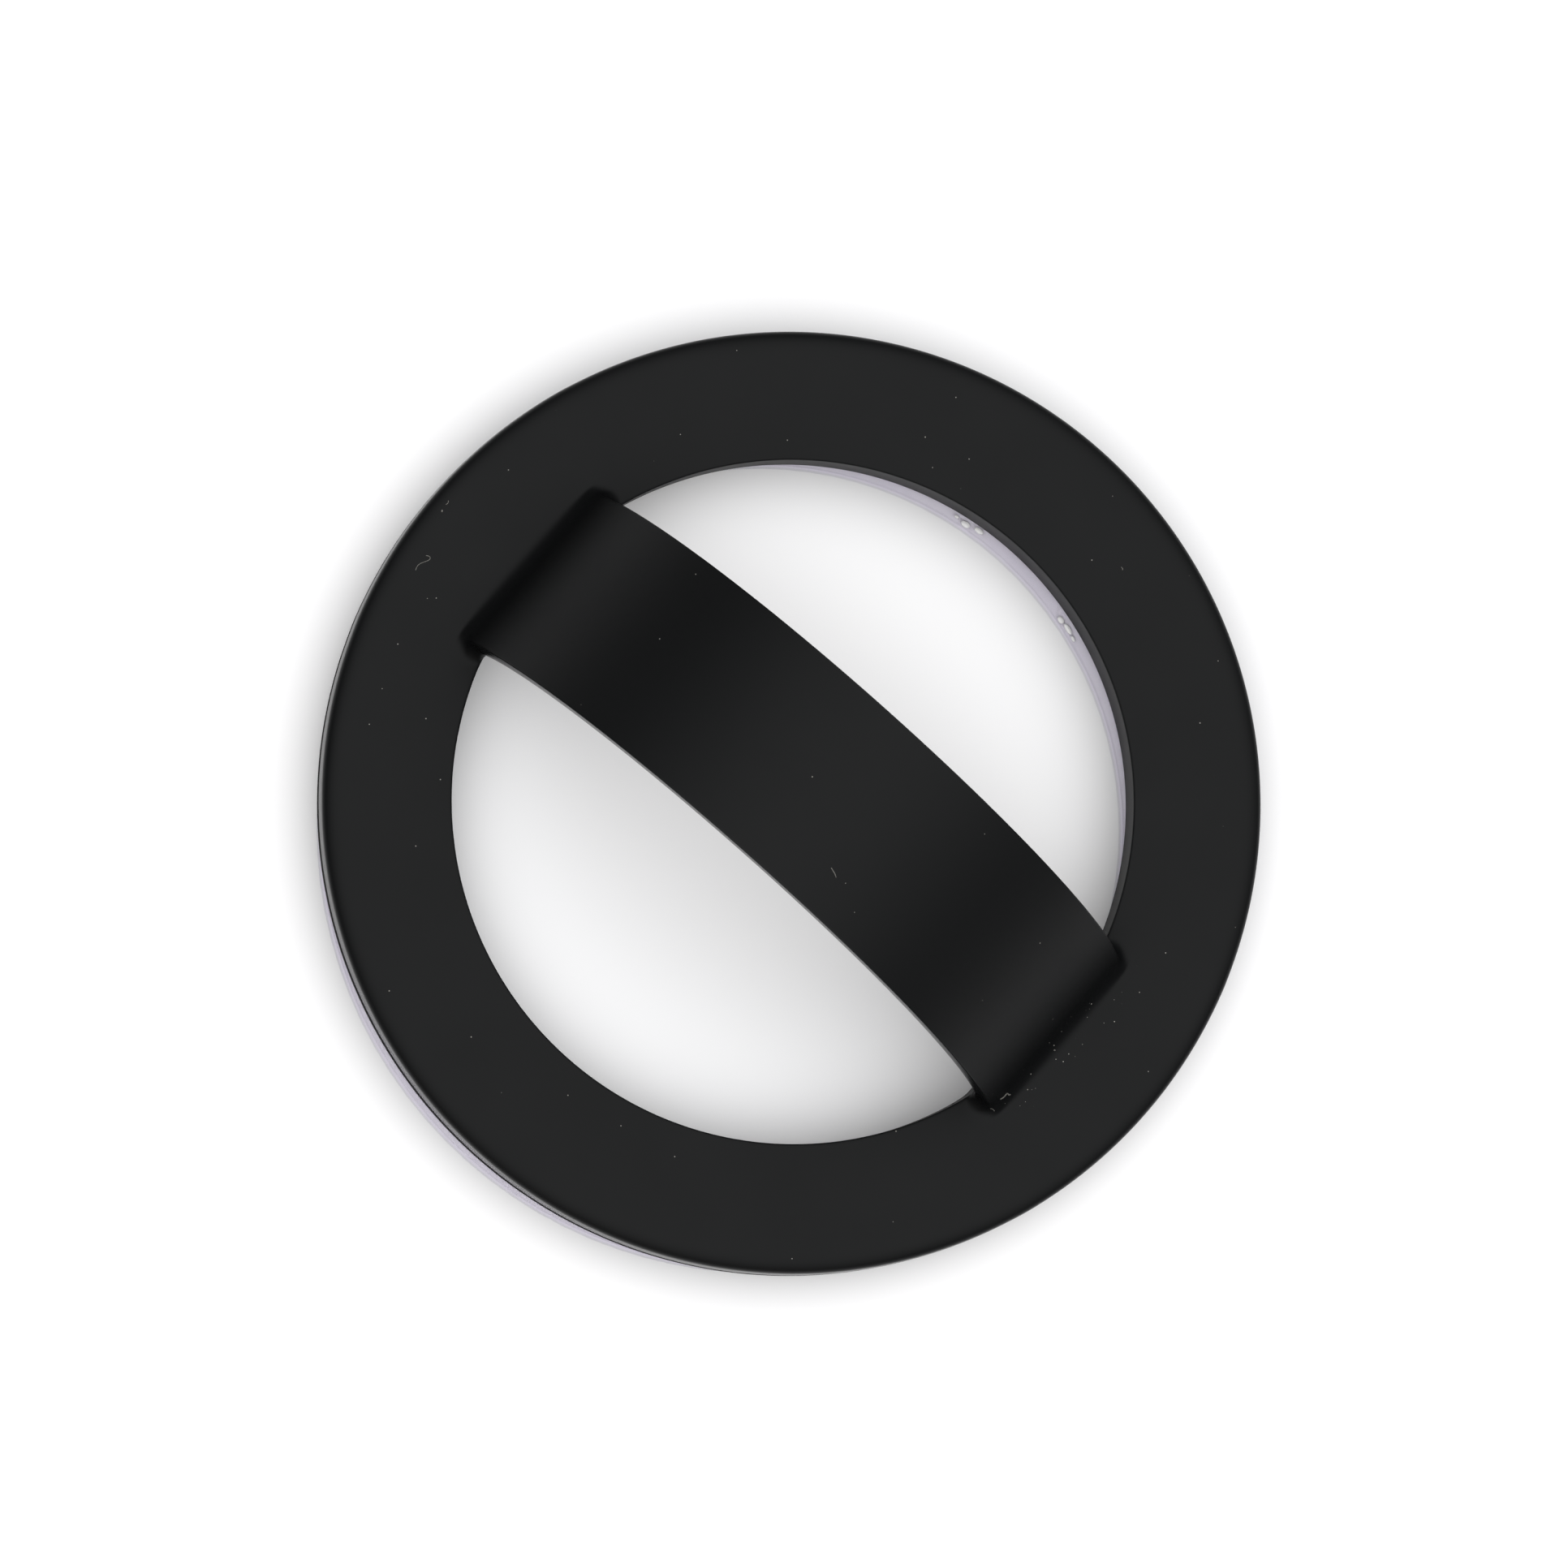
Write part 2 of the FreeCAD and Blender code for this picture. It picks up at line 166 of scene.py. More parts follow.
@dataclass(frozen=True)
class SatinSilicone:
    """Moulded black silicone: near black, with soft wide reflections.

    The mould is spark-eroded on top, which leaves a satin face. Its outer wall and the strap's sides are polished so
    that the part comes out, and below the parting line the rubber stays dull. Silicone draws dust, so that pale
    specks lie on it, most of them along the root towards +X.
    """

    colour: str = "090a0b"
    dust: str = "878580"
    ior: float = 1.41
    specular: float = 0.168
    satin: float = 0.52
    polished: float = 0.24
    dull: float = 1.0
    handled: float = 6.0 * MM
    wear: tuple[float, float] = (0.93, 1.07)
    wall: tuple[float, float] = (0.4 * MM, 5.0 * MM)
    # Spans over which one finish turns into the next: three as shares of the wall's height, then three in metres.
    parting: tuple[float, float] = (0.38, 0.46)
    shoulder: tuple[float, float] = (0.85, 0.97)
    hole_foot: tuple[float, float] = (0.12, 0.16)
    cheek: tuple[float, float] = (5.96 * MM, 6.06 * MM)
    strap_level: tuple[float, float] = (5.8 * MM, 6.4 * MM)
    ring_middle: tuple[float, float] = (25.0 * MM, 25.1 * MM)
    # The real grain is some hundredths of a millimetre and is drawn coarser, so that it shows.
    grain: float = 0.12 * MM
    grain_height: float = 0.004 * MM
    spacing: float = 1.4 * MM
    speck: float = 0.045 * MM
    # The share of a speck that is plain dust, and the share of the crowd that has whole specks.
    speck_core: float = 0.6
    crowd_core: float = 0.4
    # What is left of a speck at the crowd's edge, as a share of the spacing.
    crowd_end: float = 0.001
    crowd_spacing: float = 0.36 * MM
    crowd_speck: float = 0.045 * MM
    crowd_place: tuple[float, float, float] = (22.3 * MM, 0.0, 5.2 * MM)
    crowd_size: tuple[float, float, float] = (1.8 * MM, 7.2 * MM, 1.6 * MM)

    def gloss(self, tree: bpy.types.NodeTree, place: bpy.types.NodeSocket) -> bpy.types.NodeSocket:
        """Gives the roughness of face, walls and foot, a little uneven from handling.

        Args:
            tree: The node tree of the finish.
            place: The point on the surface.

        Returns:
            The socket with the roughness.
        """
        point = add_node(tree, "ShaderNodeSeparateXYZ", Vector=place)
        level = point.outputs["Z"]
        aside = add_node(tree, "ShaderNodeMath", {"operation": "ABSOLUTE", 0: point.outputs["Y"]}).outputs["Value"]
        spans = (
            (level, self.wall), (axis_distance(tree, 0, 0), self.ring_middle), (aside, self.cheek),
            (level, self.strap_level),
        )
        height, outwards, sideways, raised = (
            add_node(tree, "ShaderNodeMapRange", {"From Min": low, "From Max": high}, Value=value).outputs["Result"]
            for value, (low, high) in spans
        )
        satin, polished, dull = grey(self.satin), grey(self.polished), grey(self.dull)
        outside = [(0.0, dull), *zip((*self.parting, *self.shoulder), (dull, polished, polished, satin))]
        inside = [(0.0, dull), *zip(self.hole_foot, (dull, satin))]
        outer, inner = (
            add_node(tree, "ShaderNodeValToRGB", {"stops": stops}, Fac=height).outputs["Color"]
            for stops in (outside, inside)
        )
        ring = add_node(tree, "ShaderNodeMixRGB", Fac=outwards, Color1=inner, Color2=outer)
        cheek = add_node(tree, "ShaderNodeMath", {"operation": "MULTIPLY", 0: sideways, 1: raised})
        finish = add_node(
            tree, "ShaderNodeMixRGB", {"Color2": polished}, Fac=cheek.outputs["Value"], Color1=ring.outputs["Color"]
        )
        wiped = add_node(tree, "ShaderNodeTexNoise", {"Scale": 1 / self.handled, "Detail": 3.0}, Vector=place)
        wear = add_node(
            tree, "ShaderNodeMapRange", {"To Min": self.wear[0], "To Max": self.wear[1]}, Value=wiped.outputs["Fac"]
        )
        return add_node(
            tree, "ShaderNodeMath", {"operation": "MULTIPLY", 0: finish.outputs["Color"], 1: wear.outputs["Result"]}
        ).outputs["Value"]

    def dusted(self, tree: bpy.types.NodeTree, place: bpy.types.NodeSocket) -> bpy.types.NodeSocket:
        """Gives the black with its dust: scattered specks, and a crowd of finer ones along one root.

        Args:
            tree: The node tree of the finish.
            place: The point on the surface.

        Returns:
            The colour socket.
        """
        about = add_node(
            tree, "ShaderNodeMapping",
            {"Location": tuple(-at / size for at, size in zip(self.crowd_place, self.crowd_size)),
             "Scale": tuple(1 / size for size in self.crowd_size)},
            Vector=place,
        )
        away = add_node(tree, "ShaderNodeVectorMath", {"operation": "LENGTH"}, Vector=about.outputs["Vector"])
        crowd = add_node(
            tree, "ShaderNodeMapRange",
            {"From Min": self.crowd_core, "To Min": self.crowd_speck / self.crowd_spacing, "To Max": self.crowd_end},
            Value=away.outputs["Value"],
        ).outputs["Result"]
        shares = []
        for spacing, size in ((self.spacing, self.speck / self.spacing), (self.crowd_spacing, crowd)):
            cells = add_node(tree, "ShaderNodeTexVoronoi", {"Scale": 1 / spacing}, Vector=place)
            shares.append(add_node(
                tree, "ShaderNodeMath", {"operation": "DIVIDE", 0: cells.outputs["Distance"], 1: size}
            ).outputs["Value"])
        nearest = add_node(tree, "ShaderNodeMath", {"operation": "MINIMUM", 0: shares[0], 1: shares[1]})
        dust, black = linear(self.dust), linear(self.colour)
        return add_node(
            tree, "ShaderNodeValToRGB", {"stops": [(0.0, dust), (self.speck_core, dust), (1.0, black)]},
            Fac=nearest.outputs["Value"],
        ).outputs["Color"]

    def material(self) -> bpy.types.Material:
        """Builds the silicone's shader.

        Returns:
            The finished material.
        """
        material, tree = new_material("satin_silicone")
        place = add_node(tree, "ShaderNodeTexCoord").outputs["Object"]
        grain = add_node(tree, "ShaderNodeTexNoise", {"Scale": 1 / self.grain, "Detail": 2.0}, Vector=place)
        bump = add_node(
            tree, "ShaderNodeBump", {"Strength": 0.3, "Distance": self.grain_height}, Height=grain.outputs["Fac"]
        )
        shader = add_node(
            tree, "ShaderNodeBsdfPrincipled", {"IOR": self.ior, "Specular IOR Level": self.specular},
            Base_Color=self.dusted(tree, place), Roughness=self.gloss(tree, place), Normal=bump.outputs["Normal"],
        )
        add_node(tree, "ShaderNodeOutputMaterial", Surface=shader.outputs["BSDF"])
        return material


@dataclass(frozen=True)
class ClearSheet:
    """Clear sheet stock that was cut with a die.

    It shows by a gloss, a faint tint of its own, a stain in the light that it lets through, and darker cut edges.
    """

    name: str
    tint: str
    edge: str
    strength: float
    edge_strength: float
    edge_width: float
    roughness: float
    ripple: float
    stain: float
    # Painted shade: the near black that is painted on the sheet under the body, and how quickly it sets in at its
    # edges.
    painted_shade_colour: str = "0b0b0c"
    painted_shade_edge: float = 0.01
    ripple_length: float = 2.0 * MM
    ior: float = 1.48

    def material(self, x: float, y: float, inner: float, outer: float,
                 painted_shade_radii: tuple[float, float] | None = None) -> bpy.types.Material:
        """Builds the sheet's shader.

        Args:
            x: Where the ring's axis stands.
            y: Where the ring's axis stands.
            inner: The ring's inner radius.
            outer: The ring's outer radius.
            painted_shade_radii: Radii about the body's axis between which the sheet is painted near black and
                opaque, as painted shade under the body.

        Returns:
            The finished material.
        """
        material, tree = new_material(self.name)
        across = add_node(
            tree, "ShaderNodeMapRange", {"From Min": inner, "From Max": outer}, Value=axis_distance(tree, x, y)
        ).outputs["Result"]
        line = self.edge_width / (outer - inner)
        places = (0.0, line, 2 * line, 1 - 2 * line, 1 - line, 1.0)
        plain, cut = linear(self.tint), linear(self.edge)
        colours = (cut, cut, plain, plain, cut, cut)
        shares = [grey(self.edge_strength if shade == cut else self.strength) for shade in colours]
        colour, cover = (
            add_node(tree, "ShaderNodeValToRGB", {"stops": list(zip(places, row))}, Fac=across).outputs["Color"]
            for row in (colours, shares)
        )
        # Painted shade: under the body the sheet is coloured near black and made opaque, standing in for the shade
        # there.
        if painted_shade_radii:
            under = add_node(
                tree, "ShaderNodeMapRange", {"From Min": painted_shade_radii[0], "From Max": painted_shade_radii[1]}, Value=axis_distance(tree, 0, 0)
            ).outputs["Result"]
            ends = (0.0, self.painted_shade_edge, 1 - self.painted_shade_edge, 1.0)
            stops = [(at, grey(share)) for at, share in zip(ends, (0, 1, 1, 0))]
            painted_shade = add_node(tree, "ShaderNodeValToRGB", {"stops": stops}, Fac=under).outputs["Color"]
            cover = add_node(tree, "ShaderNodeMath", {"operation": "MAXIMUM", 0: cover, 1: painted_shade}).outputs["Value"]
            colour = add_node(
                tree, "ShaderNodeMixRGB", {"Color2": linear(self.painted_shade_colour)}, Fac=painted_shade, Color1=colour
            ).outputs["Color"]
        place = add_node(tree, "ShaderNodeTexCoord")
        ripple = add_node(
            tree, "ShaderNodeTexNoise", {"Scale": 1 / self.ripple_length, "Detail": 1.0},
            Vector=place.outputs["Object"],
        )
        bump = add_node(
            tree, "ShaderNodeBump", {"Strength": 0.5, "Distance": self.ripple}, Height=ripple.outputs["Fac"]
        )
        shader = add_node(
            tree, "ShaderNodeBsdfPrincipled", {"Roughness": self.roughness, "IOR": self.ior},
            Base_Color=colour, Alpha=cover, Normal=bump.outputs["Normal"],
        )
        stain = add_node(tree, "ShaderNodeBsdfTransparent", Color=colour)
        sheet = add_node(
            tree, "ShaderNodeMixShader", {0: self.stain, 1: shader.outputs["BSDF"], 2: stain.outputs["BSDF"]}
        )
        add_node(tree, "ShaderNodeOutputMaterial", Surface=sheet.outputs["Shader"])
        return material


# Cast polyester release film: very smooth, faintly lavender, dark only along its cut edges.
RELEASE_FILM = ClearSheet(
    name="polyester_film", tint="c495ff", edge="7d72a6", strength=0.008, edge_strength=0.035, edge_width=0.08 * MM,
    roughness=0.08, ripple=0.004 * MM, stain=0.035,
)
# Polyurethane gel, poured and cured: water-clear, soft and a little wavy.
TACKY_GEL = ClearSheet(
    name="polyurethane_gel", tint="b9a4f0", edge="867ca8", strength=0.004, edge_strength=0.05, edge_width=0.06 * MM,
    roughness=0.15, ripple=0.02 * MM, stain=0.005,
)


@dataclass(frozen=True)
class TrappedAir:
    """Air between film and gel. Each bubble turns the light back; its plain white, nearly opaque colour is a painted
    glint that stands in for that reflection.
    """

    # Painted glint: plain white, nearly opaque, in place of the light that the air turns back.
    colour: str = "ffffff"
    cover: float = 0.9
    roughness: float = 0.15
    ior: float = 1.6
    skin: float = 0.15 * MM
    skin_height: float = 0.02 * MM

    def material(self) -> bpy.types.Material:
        """Builds the bubbles' shader.

        Returns:
            The finished material.
        """
        material, tree = new_material("trapped_air")
        place = add_node(tree, "ShaderNodeTexCoord")
        skin = add_node(
            tree, "ShaderNodeTexNoise", {"Scale": 1 / self.skin, "Detail": 2.0}, Vector=place.outputs["Object"]
        )
        bump = add_node(
            tree, "ShaderNodeBump", {"Strength": 0.4, "Distance": self.skin_height}, Height=skin.outputs["Fac"]
        )
        shader = add_node(
            tree, "ShaderNodeBsdfPrincipled",
            {"Base Color": linear(self.colour), "Roughness": self.roughness, "IOR": self.ior, "Alpha": self.cover},
            Normal=bump.outputs["Normal"],
        )
        add_node(tree, "ShaderNodeOutputMaterial", Surface=shader.outputs["BSDF"])
        return material


@dataclass(frozen=True)
class RolledMetal:
    """Bare or plated metal, with the streaks or the orange peel that its making leaves."""

    name: str
    dark: str
    light: str
    roughness: float
    streak: tuple[float, float, float]
    relief: float = 0.003 * MM
    gloss_range: tuple[float, float] = (0.8, 1.2)

    def material(self) -> bpy.types.Material:
        """Builds the metal's shader.

        Returns:
            The finished material.
        """
        material, tree = new_material(self.name)
        place = add_node(tree, "ShaderNodeTexCoord")
        run = add_node(
            tree, "ShaderNodeMapping", {"Scale": tuple(1 / size for size in self.streak)},
            Vector=place.outputs["Object"],
        )
        streaks = add_node(
            tree, "ShaderNodeTexNoise", {"Scale": 1.0, "Detail": 3.0}, Vector=run.outputs["Vector"]
        ).outputs["Fac"]
        stops = list(zip(NOISE_ENDS, (linear(self.dark), linear(self.light))))
        colour = add_node(tree, "ShaderNodeValToRGB", {"stops": stops}, Fac=streaks)
        low, high = (share * self.roughness for share in self.gloss_range)
        gloss = add_node(tree, "ShaderNodeMapRange", {"To Min": low, "To Max": high}, Value=streaks)
        bump = add_node(tree, "ShaderNodeBump", {"Strength": 0.15, "Distance": self.relief}, Height=streaks)
        shader = add_node(
            tree, "ShaderNodeBsdfPrincipled", {"Metallic": 1.0}, Base_Color=colour.outputs["Color"],
            Roughness=gloss.outputs["Result"], Normal=bump.outputs["Normal"],
        )
        add_node(tree, "ShaderNodeOutputMaterial", Surface=shader.outputs["BSDF"])
        return material


# Cold-rolled steel sheet: grey, with long fine streaks along the way it was rolled.
ROLLED_STEEL = RolledMetal(
    name="cold_rolled_steel", dark="8b8c8e", light="a6a7a8", roughness=0.34, streak=(3.0 * MM, 0.12 * MM, 0.12 * MM)
)
# Nickel plate on sintered magnets: bright, a little yellow, with the powder's orange peel under it.
BRIGHT_NICKEL = RolledMetal(
    name="nickel_plate", dark="bcb2a4", light="cfc6b8", roughness=0.2, streak=(0.4 * MM, 0.4 * MM, 0.4 * MM)
)


@dataclass(frozen=True)
class MattSolid:
    """A matt solid, whose fine grain or fibre makes it look flat."""

    name: str
    dark: str
    light: str
    roughness: float
    grain: float
    relief: float = 0.01 * MM
    ior: float = 1.54

    def material(self) -> bpy.types.Material:
        """Builds the matt shader.

        Returns:
            The finished material.
        """
        material, tree = new_material(self.name)
        place = add_node(tree, "ShaderNodeTexCoord")
        grain = add_node(
            tree, "ShaderNodeTexNoise", {"Scale": 1 / self.grain, "Detail": 3.0}, Vector=place.outputs["Object"]
        ).outputs["Fac"]
        stops = list(zip(NOISE_ENDS, (linear(self.dark), linear(self.light))))
        colour = add_node(tree, "ShaderNodeValToRGB", {"stops": stops}, Fac=grain)
        bump = add_node(tree, "ShaderNodeBump", {"Strength": 0.5, "Distance": self.relief}, Height=grain)
        shader = add_node(
            tree, "ShaderNodeBsdfPrincipled", {"Roughness": self.roughness, "IOR": self.ior},
            Base_Color=colour.outputs["Color"], Normal=bump.outputs["Normal"],
        )
        add_node(tree, "ShaderNodeOutputMaterial", Surface=shader.outputs["BSDF"])
        return material


# Moulded black ABS: a spark-eroded mould leaves a fine even grain, so that it looks flat and greyish.
MOULDED_ABS = MattSolid(name="moulded_abs", dark="121214", light="1b1b1d", roughness=0.55, grain=0.2 * MM)
# Cotton fibre from a cloth or a pocket: pale grey, patchy and without shine.
COTTON_LINT = MattSolid(name="cotton_lint", dark="454441", light="6f6d69", roughness=0.9, grain=0.1 * MM)


def select(obj: bpy.types.Object, wanted: Callable[[Vector], bool], faces: bool = False) -> None:
    """Selects the vertices, or the faces by their middle, that pass a test of place.

    Args:
        obj: The object in edit mode.
        wanted: The test, which takes a point in the object's frame.
        faces: True to pick faces instead of vertices.
    """
    bpy.ops.mesh.select_mode(type="FACE" if faces else "VERT")
    bpy.ops.mesh.select_all(action="DESELECT")
    mesh = bmesh.from_edit_mesh(obj.data)
    for item in mesh.faces if faces else mesh.verts:
        item.select_set(wanted(item.calc_center_median() if faces else item.co))
    mesh.select_flush_mode()
    bmesh.update_edit_mesh(obj.data)


def trace(name: str, points: list[Vector]) -> bpy.types.Object:
    """Draws a run of edges, by extruding one corner of a primitive from point to point.

    Args:
        name: The new object's name.
        points: The run's points.

    Returns:
        The object, left in edit mode.
    """
    bpy.ops.object.select_all(action="DESELECT")
    bpy.ops.mesh.primitive_plane_add(size=MM)
    obj = bpy.context.object
    obj.name = obj.data.name = name
    bpy.ops.object.mode_set(mode="EDIT")
    bpy.ops.mesh.select_all(action="SELECT")
    bpy.ops.mesh.merge(type="CENTER")
    bpy.ops.transform.translate(value=points[0])
    for here, there in zip(points, points[1:]):
        bpy.ops.mesh.extrude_vertices_move(TRANSFORM_OT_translate={"value": there - here})
    return obj


def start_outline(name: str, points: list[tuple[float, float]]) -> bpy.types.Object:
    """Draws a closed section in the XZ plane.

    Args:
        name: The new object's name.
        points: Distance from the axis and level of each point.

    Returns:
        The object, left in edit mode with the outline selected.
    """
    obj = trace(name, [Vector((radius, 0, level)) for radius, level in points])
    ends = {points[0], points[-1]}
    select(obj, lambda p: any(math.dist((p.x, p.z), end) < NEAR for end in ends))
    bpy.ops.mesh.edge_face_add()
    bpy.ops.mesh.select_all(action="SELECT")
    return obj


def join(name: str, made: list[bpy.types.Object]) -> bpy.types.Object:
    """Joins objects into one smooth piece.

    Args:
        name: The piece's name.
        made: The objects.

    Returns:
        The joined object.
    """
    bpy.ops.object.select_all(action="DESELECT")
    for obj in made:
        obj.select_set(True)
    bpy.context.view_layer.objects.active = made[0]
    bpy.ops.object.join()
    obj = bpy.context.object
    obj.name = obj.data.name = name
    bpy.ops.object.shade_smooth()
    return obj


def apply(obj: bpy.types.Object, kind: str, **settings: object) -> None:
    """Adds a modifier with its settings and applies it.

    Args:
        obj: The active object, in object mode.
        kind: The modifier's type name.
        **settings: Its properties.
    """
    modifier = obj.modifiers.new(kind.lower(), kind)
    for name, value in settings.items():
        setattr(modifier, name, value)
    bpy.ops.object.modifier_apply(modifier=modifier.name)


def finish_piece(obj: bpy.types.Object, material: bpy.types.Material, slot: Slot, *nodes: str) -> None:
    """Dresses a modelled piece, sets it on the body and lets it stand for its CAD nodes.

    Args:
        obj: The finished piece.
        material: Its finish.
        slot: The record's slot of that finish; not used.
        *nodes: The CAD nodes that the piece stands for.
    """
    obj.data.materials.clear()
    obj.data.materials.append(material)
    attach(obj, BODY)
    if nodes:
        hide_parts(*nodes)
    triangles = sum(len(face.vertices) - 2 for face in obj.data.polygons)
    log.info("%s: %d triangles for %s", obj.name, triangles, ", ".join(nodes) or "no node")


@dataclass
class SoftBody:
    """The silicone ring with its arched strap, modelled as a quarter and mirrored."""

    hole: float = 21.0 * MM
    rim: float = 29.0 * MM
    base: float = 0.4 * MM
    face: float = 5.0 * MM
    # Rows of the face's control cage, by their distance from the hole, and the last one by that from the rim.
    face_rows: tuple[float, ...] = (2.0 * MM, 3.0 * MM, 4.6 * MM)
    face_end: float = 1.9 * MM
    # Points of the outer wall's cage: distance in from the rim, and down from the face or up from the base.
    rim_cage: tuple[tuple[float, float], ...] = (
        (0.75 * MM, 0.0), (0.06 * MM, 0.35 * MM), (0.03 * MM, 0.9 * MM), (0.0, 1.9 * MM),
    )
    foot_cage: tuple[tuple[float, float], ...] = (
        (0.0, 1.25 * MM), (0.01 * MM, 0.7 * MM), (0.01 * MM, 0.12 * MM), (0.12 * MM, 0.0),
    )
    # The cage of the hole's wall: its lower edge, a row above the base and a row below the face.
    sole_edge: float = 0.2 * MM
    wall_foot: float = 0.7 * MM
    wall_drop: float = 1.8 * MM
    # Degrees and steps of the columns from the strap's middle round a quarter; the first three end at root_angle.
    columns: tuple[tuple[float, int], ...] = ((14.0, 5), (2.6, 1), (1.6, 1), (1.3, 1), (70.5, 20))
    root_angle: float = math.radians(18.2)
    root_steps: tuple[float, float] = (1.55 * MM, 0.9 * MM)
    strap_side: float = 6.06 * MM
    strap_thickness: float = 1.5 * MM
    strap_from: float = 0.5 * MM
    # Rows beside the strap's edges, as depths below its outer face and above its inner face.
    edge_depths: tuple[float, float] = (0.22 * MM, 0.15 * MM)
    draft: float = 0.11 * MM
    draft_start: float = 0.2
    edge_crease: float = 0.42
    crease_from: float = 3.0 * MM
    arch_radius: float = 22.0 * MM
    arch_drop: float = 4.18 * MM
    arch_steps: int = 20
    toe: float = 22.13 * MM
    root_height: float = 0.75 * MM
    corner: float = 0.75 * MM
    corner_slope: float = 0.7
    toe_side: float = 6.78 * MM
    rebate: tuple[float, float] = (22.3 * MM, 27.7 * MM)
    rebate_top: float = 1.0 * MM
    channel: tuple[float, float] = (22.9 * MM, 27.1 * MM)
    channel_top: float = 3.8 * MM
    lip: float = 0.22 * MM
    sharp_angle: float = math.radians(40.0)

    @property
    def root_rows(self) -> tuple[float, float, float, float]:
        """Radii of the rows of the ring's face that the strap grows from, outside to inside."""
        first, second = self.root_steps
        return self.hole + first, self.hole + second, self.hole + self.lip, self.hole

    def section(self) -> list[tuple[float, float]]:
        """Gives the ring's section, from the hole's edge over the face and round the channel.

        Returns:
            Distance from the axis and level of each point of the control cage.
        """
        inner, outer = self.rebate
        near, far = self.channel
        rows = [*reversed(self.root_rows), *(self.hole + row for row in self.face_rows), self.rim - self.face_end]
        rim = [(self.rim - inset, self.face - drop) for inset, drop in self.rim_cage]
        foot = [(self.rim - inset, self.base + rise) for inset, rise in self.foot_cage]
        under = [
            (outer, self.base), (outer, self.rebate_top), (far, self.rebate_top), (far, self.channel_top),
            (near, self.channel_top), (near, self.rebate_top), (inner, self.rebate_top), (inner, self.base),
        ]
        wall = [
            (self.hole + self.sole_edge, self.base), (self.hole, self.base + self.sole_edge),
            (self.hole, self.base + self.wall_foot), (self.hole, self.face - self.wall_drop),
            (self.hole, self.face - self.lip),
        ]
        return [*((radius, self.face) for radius in rows), *rim, *foot, *under, *wall]

    @property
    def arch_centre(self) -> float:
        """Level of the arch's centre."""
        return self.face - self.arch_drop

    @property
    def leg(self) -> float:
        """Distance from the axis to the strap's inner side at the ring's face."""
        return math.sqrt((self.arch_radius - self.strap_thickness) ** 2 - self.arch_drop ** 2)

    def at_root(self, point: Vector, radius: float) -> bool:
        """True for a point of a row of that radius within the strap's columns."""
        within = math.atan2(point.y, point.x) < self.root_angle + NEAR_ANGLE
        return within and abs(math.hypot(point.x, point.y) - radius) < NEAR

    def turn_ring(self) -> None:
        """Spins the selected outline into a quarter ring, with narrow columns beside the strap."""
        for degrees, steps in self.columns:
            bpy.ops.mesh.spin(steps=steps, angle=math.radians(degrees), center=(0, 0, 0), axis=(0, 0, -1))

    def settle(self, obj: bpy.types.Object, radius: float, levels: tuple[float, float], x: float, side: float,
               level: float | None = None) -> None:
        """Moves a row of the strap's columns onto a straight line across the strap.

        Args:
            obj: The object in edit mode.
            radius: The row's radius before.
            levels: The lowest and highest level of the rows that are moved.
            x: Where the line crosses the strap's middle.
            side: Half the line's length.
            level: The line's level, or None to leave it.
        """
        low, high = levels
        select(obj, lambda p: self.at_root(p, radius) and low - NEAR < p.z < high + NEAR)
        stretch = side / (radius * math.sin(self.root_angle))
        bpy.ops.transform.resize(value=(0, 1, 1), center_override=(x, 0, 0))
        bpy.ops.transform.resize(value=(1, stretch, 1), center_override=(0, 0, 0))
        if level is not None:
            bpy.ops.transform.resize(value=(1, 1, 0), center_override=(0, 0, level))

    def raise_strap(self, obj: bpy.types.Object) -> None:
        """Grows half the strap out of the ring's face, up to the crown.

        Args:
            obj: The quarter ring, in edit mode.
        """
        rows = self.root_rows
        top = self.face + self.root_height
        select(
            obj, lambda p: abs(p.z - self.face) < NEAR and rows[-1] < math.hypot(p.x, p.y) < rows[0]
            and math.atan2(p.y, p.x) < self.root_angle, faces=True,
        )
        bpy.ops.mesh.extrude_region_move(TRANSFORM_OT_translate={"value": (0, 0, self.root_height)})
        lean = math.asin((top - self.arch_centre) / self.arch_radius)
        over, under = self.edge_depths
        depths = (0, over, self.strap_thickness - under, self.strap_thickness)
        drafts = (0, self.draft_start * self.draft, self.draft, self.draft)
        for radius, depth, draft in zip(rows, depths, drafts):
            reach = self.arch_radius - depth
            level = self.arch_centre + reach * math.sin(lean)
            self.settle(obj, radius, (top, top), reach * math.cos(lean), self.strap_side + draft, level)
        self.settle(obj, rows[0], (self.face, self.face), self.toe, self.toe_side)
        select(obj, lambda p: math.dist(p, (self.toe, self.toe_side, self.face)) < NEAR)
        bpy.ops.transform.translate(value=(-self.corner, -self.corner_slope * self.corner, 0))
        self.settle(obj, self.hole, (self.base, self.face), self.leg, self.strap_side)
        sole = self.hole + self.sole_edge
        self.settle(obj, sole, (self.base, self.base), self.leg + self.sole_edge, self.strap_side)
        select(obj, lambda p: p.z > self.face + self.strap_from, faces=True)
        bpy.ops.mesh.spin(
            steps=self.arch_steps, angle=math.pi / 2 - lean, center=(0, 0, self.arch_centre), axis=(0, 1, 0)
        )

    def mirror(self, obj: bpy.types.Object) -> None:
        """Opens the quarter at its two planes of symmetry and mirrors it.

        Args:
            obj: The quarter, in edit mode.
        """
        select(obj, lambda p: min(abs(p.x), abs(p.y)) < NEAR, faces=True)
        bpy.ops.mesh.delete(type="FACE")
        bpy.ops.mesh.select_all(action="SELECT")
        bpy.ops.mesh.remove_doubles(threshold=NEAR)
        bpy.ops.object.mode_set(mode="OBJECT")
        apply(obj, "MIRROR", use_axis=(True, True, False), merge_threshold=NEAR)
        bpy.ops.object.mode_set(mode="EDIT")
        bpy.ops.mesh.select_all(action="SELECT")
        bpy.ops.mesh.normals_make_consistent(inside=False)

